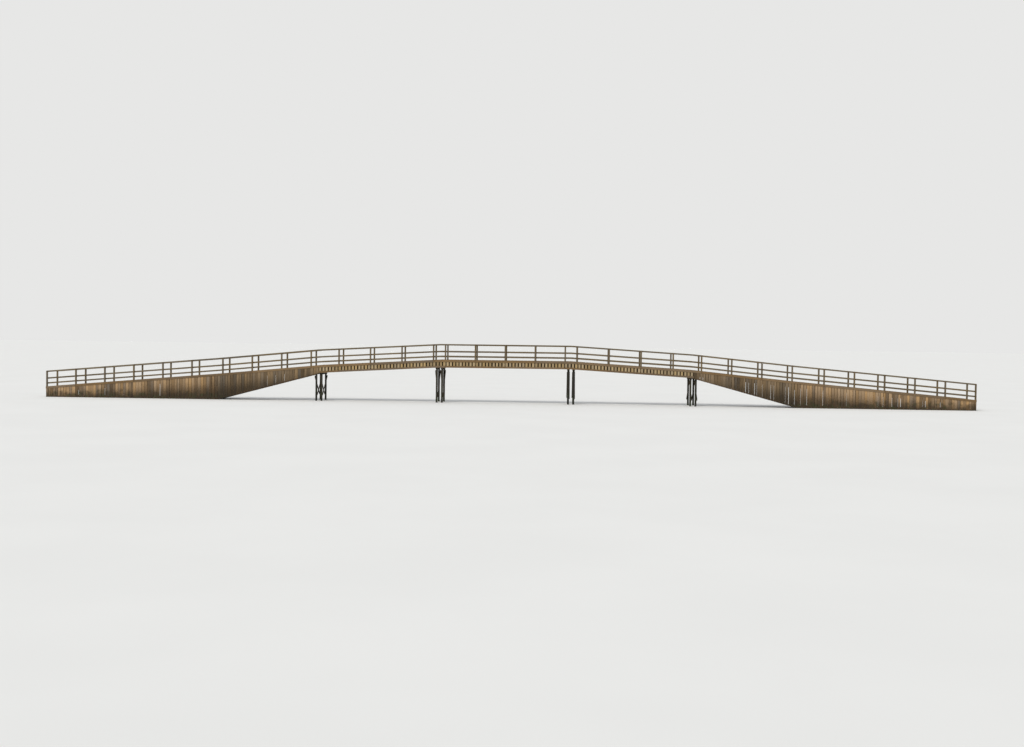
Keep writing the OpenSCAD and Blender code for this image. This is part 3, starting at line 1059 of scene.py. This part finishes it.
def weather(name):
    """Blotches, damp near the ground and green growth, over the whole bridge."""
    w, given = new_group(name, {"Damp Height": 0.4})
    place = w.place()
    height = w.math("DIVIDE", w.parts(place)[2], given["Damp Height"])
    uneven = w.math("ADD", height, w.span(w.noise(place, 7.0, 3.0), 0.2, 0.8, -0.45, 0.45))
    damp = w.span(uneven, 0.1, 1.0, 1.0, 0.0)
    return w.give({
        "Blotches": w.span(w.noise(place, 2.3, 4.0), 0.3, 0.7),
        "Specks": w.span(w.noise(place, 60.0, 3.0), 0.55, 0.75),
        "Damp": damp,
        "Growth": w.times(w.span(w.noise(place, 9.0, 5.0), 0.42, 0.68), damp),
    })


def nail_stains(name):
    """Rust that has run from the nails, in rows counted from a timber's middle or its ends."""
    rows = {"First Row": 0.0, "Second Row": FAR_OFF, "End Row": FAR_OFF}
    w, given = new_group(name, {**rows, "Reach": 0.011})
    along, wide, _ = w.parts(w.vector("ABSOLUTE", w.attribute("grain")))
    half_along, half_wide, _ = w.parts(w.attribute("half"))

    def apart(a, b):
        return w.math("ABSOLUTE", w.math("SUBTRACT", a, b))

    from_middle = w.math("MINIMUM", apart(along, given["First Row"]), apart(along, given["Second Row"]))
    from_end = apart(w.math("SUBTRACT", half_along, along), given["End Row"])
    down = w.times(w.math("MINIMUM", from_middle, from_end), 0.6)
    aside = apart(wide, w.times(half_wide, NAIL_SHARE))
    away = w.math("SQRT", w.math("ADD", w.times(down, down), w.times(aside, aside)))
    reach = w.times(given["Reach"], w.span(w.noise(w.place(), 130.0, 3.0), 0.25, 0.75, 0.35, 1.4))
    return w.give({"Stains": w.span(w.math("DIVIDE", away, reach), 0.25, 1.0, 1.0, 0.0)})


def tinted(colour, factor):
    return tuple(min(1, c * factor) for c in colour)


def weathered_timber(name, key, damp=0.0, growth=0.0, depth=0.0, trodden=False, relief=0.0007):
    """Weathered softwood: each timber has its own tone and grain, with worn arrises and damp ends.

    key names its two colours. damp is the height that the ground's damp reaches, and depth the length
    over which upright boards darken from their heads downwards.
    """
    sizes, colours = bpy.context.scene.footbridge_sizes, bpy.context.scene.footbridge_colours
    light, dark = getattr(colours, key), getattr(colours, f"{key}_dark")
    made = bpy.data.materials.new(name)
    w = new_wires(made)
    grain = w.group(timber_grain)
    edges = w.group(worn_edges, {"Depth": depth} if depth else None)
    around = w.group(weather, {"Damp Height": damp} if damp else None)
    share = w.math("ADD", w.times(grain["Tone"], 0.78 if depth else 0.55), w.times(grain["Streaks"], 0.32))
    share = w.math("ADD", share, w.times(around["Blotches"], 0.22), clamp=True)

    # Each layer covers those below it: its mask, its strength and its colour
    layers = [(grain["Age"], 0.3, tinted((1.02, 1.0, 0.93), sum(light) / 3))]
    if trodden:
        offset = w.math("ABSOLUTE", w.parts(w.place())[1])
        path = w.span(w.math("ADD", offset, w.times(around["Blotches"], 0.09)), 0.12, 0.4, 1.0, 0.0)
        layers.append((path, 0.35, tinted(light, 1.3)))
    if depth:
        layers.append((edges["Below"], 0.85, tinted(dark, 0.75)))
    layers += (
        (edges["Edges"], 0.4, tinted(light, 1.25)),
        (edges["Ends"], 0.45, dark),
        (grain["Knots"], 0.6, tinted(dark, 0.5)),
        (grain["Checks"], 0.7, tinted(dark, 0.35)),
        (around["Specks"], 0.25, tinted(dark, 0.6)),
    )
    if trodden or depth:
        on_girders = {"Second Row": girder_rows()[2]}
        on_batten = {"First Row": FAR_OFF, "End Row": sizes.batten_lift + sizes.batten_width / 2}
        stains = w.group(nail_stains, on_girders if trodden else on_batten)
        layers.append((stains["Stains"], 0.55, tinted(colours.rust, 0.55)))
    rough = w.span(grain["Streaks"], 0.0, 1.0, 0.78, 0.93)
    if damp:
        layers += ((around["Damp"], 0.65, tinted(dark, 0.6)), (around["Growth"], growth, colours.growth))
        rough = w.math("SUBTRACT", rough, w.times(around["Damp"], 0.22))
    base = w.mix(share, dark, light)
    for mask, strength, tint in layers:
        base = w.mix(w.times(mask, strength), base, tint)

    height = w.math("SUBTRACT", w.times(grain["Fibre"], 0.6), grain["Checks"])
    height = w.math("ADD", height, w.times(grain["Streaks"], 0.5))
    w.shade(Base_Color=base, Roughness=rough, Specular_IOR_Level=0.2, Normal=w.bump(height, 0.8, relief))
    return made


def old_iron(name):
    """Dull, rusting iron of the bolts, nuts and nails."""
    colours = bpy.context.scene.footbridge_colours
    made = bpy.data.materials.new(name)
    w = new_wires(made)
    patches = w.noise(w.place(), 220.0, 4.0)
    own = w.parts(w.attribute("timber"))[0]
    rust = w.math("ADD", w.span(patches, 0.35, 0.65), w.times(own, 0.5), clamp=True)
    w.shade(
        Base_Color=w.mix(rust, colours.iron, colours.rust),
        Metallic=w.span(rust, 0.0, 0.6, 0.6, 0.0),
        Roughness=w.span(patches, 0.3, 0.7, 0.55, 0.9),
        Normal=w.bump(patches, 0.6, 0.0003),
    )
    return made


# Each finish of timber: the name of its colours, and how it has weathered
TIMBER_LOOKS = {
    "deck planks": ("plank", {"trodden": True}),
    "girder timber": ("girder", {}),
    "boards": ("board", {}),
    # Skirt boards take the colours with painted shade. Ramp boards and the end walls' planks take the ramp
    # colours, which have painted sunlight.
    "skirt boards": ("skirt", {"damp": 0.3, "growth": 0.5, "depth": 0.66}),
    "ramp boards": ("ramp", {"damp": 0.3, "growth": 0.5, "depth": 0.62}),
    "wall planks": ("ramp", {"damp": 0.3, "growth": 0.5}),
    "edge boards": ("edge", {"damp": 0.12, "growth": 0.3}),
    "rail timber": ("rail", {}),
    "pile timber": ("pile", {"damp": 0.55, "growth": 0.75, "relief": 0.0014}),
    "pier timbers": ("pier", {"damp": 0.45, "growth": 0.6}),
}


def finish(name):
    """The finish with this name, made on its first use."""
    if name == "iron" and name not in FINISHES:
        FINISHES[name] = old_iron(name)
    elif name not in FINISHES:
        key, weathering = TIMBER_LOOKS[name]
        FINISHES[name] = weathered_timber(name, key, **weathering)
    return FINISHES[name]


class FOOTBRIDGE_OT_stage(bpy.types.Operator):
    """Set the floor, the lamps, the background and the camera"""

    bl_idname = "footbridge.stage"
    bl_label = "Stage"

    def execute(self, context):
        context.scene.view_settings.view_transform = "Standard"
        self.floor(context.scene.footbridge_colours.floor)
        self.background(context.scene)
        self.sun(context.scene)
        self.camera(context.scene)
        return {"FINISHED"}

    def floor(self, tint):
        floor = primitive(bpy.ops.mesh.primitive_plane_add, size=1600)
        floor.name = floor.data.name = "floor"
        made = bpy.data.materials.new("floor")
        w = new_wires(made)
        shade = w.span(w.noise(w.place(), 0.4, 3.0), 0.3, 0.7)
        w.shade(Base_Color=w.mix(shade, tinted(tint, 0.98), tint), Roughness=0.9, Specular_IOR_Level=0.1)
        floor.data.materials.append(made)

    def background(self, scene):
        """Soft light from all round, and a plain colour where the camera sees past the floor."""
        scene.world = bpy.data.worlds.new("soft light")
        w = new_wires(scene.world)
        soft = w.add("ShaderNodeBackground", {"Color": (0.93, 0.96, 1.0), "Strength": 0.62})
        shown = w.add("ShaderNodeBackground", {"Color": scene.footbridge_colours.backdrop})
        ray = w.add("ShaderNodeLightPath")
        seen = w.math("MAXIMUM", ray["Is Camera Ray"], ray["Is Glossy Ray"])
        seen = w.math("MAXIMUM", seen, ray["Is Transmission Ray"])
        mixed = w.add("ShaderNodeMixShader", {0: seen, 1: soft[0], 2: shown[0]})
        w.add("ShaderNodeOutputWorld", {0: mixed[0]})

    def sun(self, scene):
        lamp = bpy.data.lights.new("sun", "SUN")
        lamp.energy, lamp.angle, lamp.color = 1.7, math.radians(12), (1.0, 0.96, 0.9)
        sun = bpy.data.objects.new("sun", lamp)
        direction = Vector((0.45, 0.75, -0.85))
        sun.rotation_euler = direction.to_track_quat("-Z", "Y").to_euler()
        scene.collection.objects.link(sun)

    def camera(self, scene):
        """The photograph's place and tilt, turned towards the middle of the bridge."""
        place, aim_height, roll = Vector((1.8, -42.165, 2.015)), 1.0, math.radians(0.76)
        data = bpy.data.cameras.new("camera")
        data.sensor_width, data.lens, data.clip_end = 36, 44, 2000
        camera = bpy.data.objects.new("camera", data)
        scene.collection.objects.link(camera)
        ends = [(Vector((x, 0, aim_height)) - place).normalized() for x in (-END_X, END_X)]
        turn = (ends[0] + ends[1]).normalized().to_track_quat("-Z", "Y").to_matrix().to_4x4()
        camera.matrix_world = Matrix.Translation(place) @ turn @ Matrix.Rotation(roll, 4, "Z")
        scene.camera = camera


STEPS = (
    FOOTBRIDGE_OT_deck,
    FOOTBRIDGE_OT_girders,
    FOOTBRIDGE_OT_boarding,
    FOOTBRIDGE_OT_skirts,
    FOOTBRIDGE_OT_railings,
    FOOTBRIDGE_OT_piles,
    FOOTBRIDGE_OT_caps,
    FOOTBRIDGE_OT_braces,
    FOOTBRIDGE_OT_trestles,
    FOOTBRIDGE_OT_end_walls,
    FOOTBRIDGE_OT_stage,
)


class FOOTBRIDGE_PT_panel(bpy.types.Panel):
    """Lists the steps that dress the footbridge, with its sizes and colours"""

    bl_idname = "FOOTBRIDGE_PT_panel"
    bl_label = "Footbridge"
    bl_space_type = "VIEW_3D"
    bl_region_type = "UI"
    bl_category = "Footbridge"

    def draw(self, context):
        for step in STEPS:
            self.layout.operator(step.bl_idname)
        for group in (context.scene.footbridge_sizes, context.scene.footbridge_colours):
            box = self.layout.box()
            for key in group.__annotations__:
                box.prop(group, key)


CLASSES = (FootbridgeSizes, FootbridgeColours, *STEPS, FOOTBRIDGE_PT_panel)


def register():
    for made in CLASSES:
        bpy.utils.register_class(made)
    bpy.types.Scene.footbridge_sizes = bpy.props.PointerProperty(type=FootbridgeSizes)
    bpy.types.Scene.footbridge_colours = bpy.props.PointerProperty(type=FootbridgeColours)


def unregister():
    del bpy.types.Scene.footbridge_colours
    del bpy.types.Scene.footbridge_sizes
    for made in reversed(CLASSES):
        bpy.utils.unregister_class(made)


def main():
    register()
    bpy.ops.footbridge.deck()
    bpy.ops.footbridge.girders()
    bpy.ops.footbridge.boarding()
    bpy.ops.footbridge.skirts()
    bpy.ops.footbridge.railings()
    bpy.ops.footbridge.piles()
    bpy.ops.footbridge.caps()
    bpy.ops.footbridge.braces()
    bpy.ops.footbridge.trestles()
    bpy.ops.footbridge.end_walls()
    bpy.ops.footbridge.stage()


if __name__ == "__main__":
    main()
